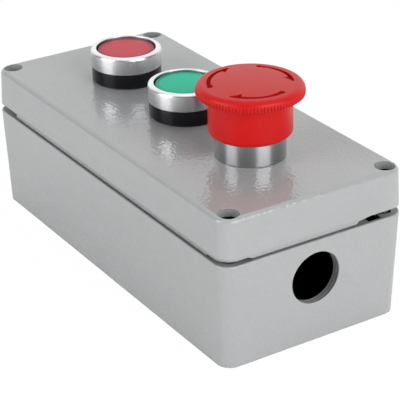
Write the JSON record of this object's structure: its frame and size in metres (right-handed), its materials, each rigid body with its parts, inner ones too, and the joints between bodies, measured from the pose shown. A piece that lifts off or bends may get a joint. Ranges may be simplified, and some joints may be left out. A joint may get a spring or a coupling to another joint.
{
  "type": "pushbutton control station",
  "caption": "Die-cast box control station with a red turn-to-release stop mushroom, a green and a red flush push button, and a cable gland hole in one end.",
  "frame": {"origin": "middle of the base's underside, on the surface that the box is fixed to", "axes": "+X along the box towards the end with the gland hole and the stop button, +Y across it, +Z out of the lid through the buttons"},
  "size_m": [0.175, 0.08, 0.089],
  "materials": {
    "grey_paint": "semi-gloss grey powder paint with a fine hammered surface",
    "seal_rubber": "matt black rubber",
    "plated_steel": "zinc-plated steel",
    "brass": "bare brass",
    "black_plastic": "black moulded plastic, slightly glossy",
    "satin_aluminium": "satin anodised aluminium with a polished rim",
    "red_cap": "red translucent-look acrylic, smooth",
    "green_cap": "green translucent-look acrylic, smooth",
    "ivory_plastic": "ivory glass-filled nylon",
    "spring_steel": "bright drawn spring wire",
    "grey_plastic": "dark grey moulded plastic",
    "contact_copper": "bare copper with silver-coloured contact pads",
    "turned_steel": "turned and plated steel",
    "stop_red": "red moulded plastic, satin"
  },
  "bodies": {
    "root": {"base_housing": "grey_paint", "lid": "grey_paint", "lid_gasket": "seal_rubber", "lid_screws": "plated_steel", "earth_screw": "brass", "earth_washer": "brass", "red_barrel": "black_plastic", "red_bezel": "satin_aluminium", "red_panel_seal": "seal_rubber", "red_ring_nut": "black_plastic", "red_return_spring": "spring_steel", "red_block_housing": "grey_plastic", "red_terminals": "brass", "red_terminal_screws": "plated_steel", "red_block_spring": "spring_steel", "green_barrel": "black_plastic", "green_bezel": "satin_aluminium", "green_panel_seal": "seal_rubber", "green_ring_nut": "black_plastic", "green_return_spring": "spring_steel", "green_block_housing": "grey_plastic", "green_terminals": "brass", "green_terminal_screws": "plated_steel", "green_block_spring": "spring_steel", "stop_collar": "turned_steel", "stop_panel_seal": "seal_rubber", "stop_ring_nut": "turned_steel", "stop_return_spring": "spring_steel", "stop_block_housing": "grey_plastic", "stop_terminals": "brass", "stop_terminal_screws": "plated_steel", "stop_block_spring": "spring_steel"},
    "red_button": {"red_cap": "red_cap", "red_plunger": "ivory_plastic", "red_carrier": "ivory_plastic", "red_bridges": "contact_copper"},
    "green_button": {"green_cap": "green_cap", "green_plunger": "ivory_plastic", "green_carrier": "ivory_plastic", "green_bridges": "contact_copper"},
    "stop_plunger": {"stop_core": "ivory_plastic", "stop_carrier": "ivory_plastic", "stop_bridges": "contact_copper"},
    "stop_head": {"stop_mushroom": "stop_red"}
  },
  "joints": [
    {"name": "red_press", "type": "slide", "parent": "root", "child": "red_button", "axis": [0, 0, -1], "range_m": [0, 0.0035], "stiffness_N_per_m": 400, "springref_m": -0.004, "deforming": ["red_return_spring", "red_block_spring"]},
    {"name": "green_press", "type": "slide", "parent": "root", "child": "green_button", "axis": [0, 0, -1], "range_m": [0, 0.0035], "stiffness_N_per_m": 400, "springref_m": -0.004, "deforming": ["green_return_spring", "green_block_spring"]},
    {"name": "stop_press", "type": "slide", "parent": "root", "child": "stop_plunger", "axis": [0, 0, -1], "range_m": [0, 0.005], "stiffness_N_per_m": 900, "springref_m": -0.006, "deforming": ["stop_return_spring", "stop_block_spring"]},
    {"name": "stop_turn", "type": "hinge", "parent": "stop_plunger", "child": "stop_head", "pos_m": [0.0453, 0, 0.082], "axis": [0, 0, 1], "range_deg": [-45, 0], "stiffness_Nm_per_rad": 0.08, "springref_deg": 20.05}
  ]
}
